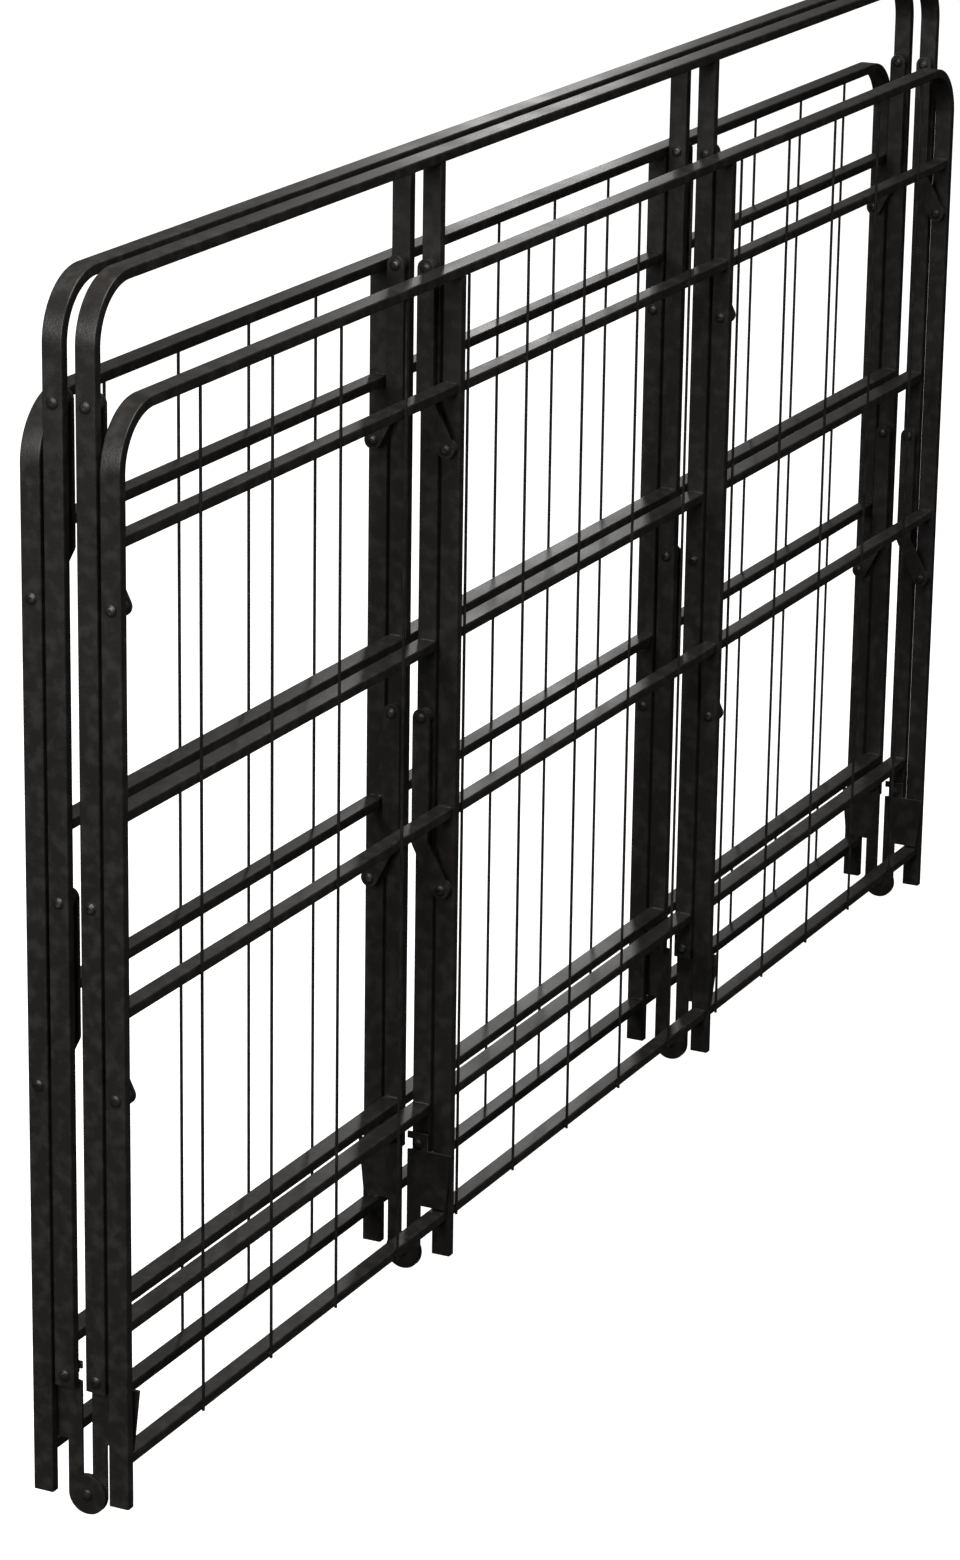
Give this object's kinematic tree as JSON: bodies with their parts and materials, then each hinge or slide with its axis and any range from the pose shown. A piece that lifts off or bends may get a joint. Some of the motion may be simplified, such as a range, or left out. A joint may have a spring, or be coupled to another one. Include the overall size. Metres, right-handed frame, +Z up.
{
  "type": "folding bed base",
  "caption": "Bi-fold black steel bed base, folded flat: wire-strung tube decks back to back, each with a nested base frame that swings out on cranked links.",
  "frame": {"origin": "on the ground under the fold line, at the middle of the bed's width and of the folded pack", "axes": "+X along the bed's width, +Y through the folded pack from the front half to the rear half, +Z up from the fold line to the head and foot ends"},
  "size_m": [1.9344, 0.1054, 1.135],
  "materials": {
    "black_powder_coat": "satin black powder coat with a fine orange peel",
    "blackened_steel": "blackened zinc plate, satin",
    "black_nylon": "moulded nylon, matt"
  },
  "bodies": {
    "rear_deck": {"rear_deck_hoop": "black_powder_coat", "rear_deck_posts": "black_powder_coat", "rear_deck_bar_upper": "black_powder_coat", "rear_deck_bar_middle": "black_powder_coat", "rear_deck_bar_lower": "black_powder_coat", "rear_wires": "black_powder_coat", "rear_hinge_plates": "black_powder_coat", "rear_hinge_pads": "black_powder_coat", "rear_deck_rivets": "blackened_steel", "rear_deck_bushes": "black_nylon", "fold_bolts": "blackened_steel"},
    "rear_lower_links": {"rear_lower_links": "black_powder_coat"},
    "rear_upper_links": {"rear_upper_links": "black_powder_coat"},
    "rear_base": {"rear_base_hoop": "black_powder_coat", "rear_base_posts": "black_powder_coat", "rear_base_bar_middle": "black_powder_coat", "rear_base_bar_lower": "black_powder_coat", "rear_base_rivets": "blackened_steel", "rear_base_bushes": "black_nylon", "rear_stow_pins": "blackened_steel"},
    "front_deck": {"front_deck_hoop": "black_powder_coat", "front_deck_posts": "black_powder_coat", "front_deck_bar_upper": "black_powder_coat", "front_deck_bar_middle": "black_powder_coat", "front_deck_bar_lower": "black_powder_coat", "front_wires": "black_powder_coat", "front_hinge_plates": "black_powder_coat", "front_hinge_pads": "black_powder_coat", "front_deck_rivets": "blackened_steel", "front_deck_bushes": "black_nylon"},
    "front_lower_links": {"front_lower_links": "black_powder_coat"},
    "front_upper_links": {"front_upper_links": "black_powder_coat"},
    "front_base": {"front_base_hoop": "black_powder_coat", "front_base_posts": "black_powder_coat", "front_base_bar_middle": "black_powder_coat", "front_base_bar_lower": "black_powder_coat", "front_base_rivets": "blackened_steel", "front_base_bushes": "black_nylon", "front_stow_pins": "blackened_steel"}
  },
  "joints": [
    {"name": "centre_fold", "type": "hinge", "parent": "rear_deck", "child": "front_deck", "pos_m": [0, 0, 0.019], "axis": [1, 0, 0], "range_deg": [0, 180]},
    {"name": "rear_lower_link_swing", "type": "hinge", "parent": "rear_deck", "child": "rear_lower_links", "pos_m": [0, 0.039, 0.41], "axis": [1, 0, 0], "range_deg": [0, 54]},
    {"name": "rear_upper_link_swing", "type": "hinge", "parent": "rear_deck", "child": "rear_upper_links", "pos_m": [0, 0.039, 0.853], "axis": [1, 0, 0], "range_deg": [0, 54]},
    {"name": "rear_base_level", "type": "hinge", "parent": "rear_lower_links", "child": "rear_base", "pos_m": [0, 0.016, 0.583], "axis": [1, 0, 0], "range_deg": [-54, 0]},
    {"name": "front_lower_link_swing", "type": "hinge", "parent": "front_deck", "child": "front_lower_links", "pos_m": [0, -0.039, 0.41], "axis": [-1, 0, 0], "range_deg": [0, 54]},
    {"name": "front_upper_link_swing", "type": "hinge", "parent": "front_deck", "child": "front_upper_links", "pos_m": [0, -0.039, 0.853], "axis": [-1, 0, 0], "range_deg": [0, 54]},
    {"name": "front_base_level", "type": "hinge", "parent": "front_lower_links", "child": "front_base", "pos_m": [0, -0.016, 0.583], "axis": [-1, 0, 0], "range_deg": [-54, 0]}
  ],
  "couplings": [
    {"joint": "rear_lower_link_swing", "follows": "centre_fold", "ratio": 0.3},
    {"joint": "rear_upper_link_swing", "follows": "centre_fold", "ratio": 0.3},
    {"joint": "rear_base_level", "follows": "centre_fold", "ratio": -0.3},
    {"joint": "front_lower_link_swing", "follows": "centre_fold", "ratio": 0.3},
    {"joint": "front_upper_link_swing", "follows": "centre_fold", "ratio": 0.3},
    {"joint": "front_base_level", "follows": "centre_fold", "ratio": -0.3}
  ]
}
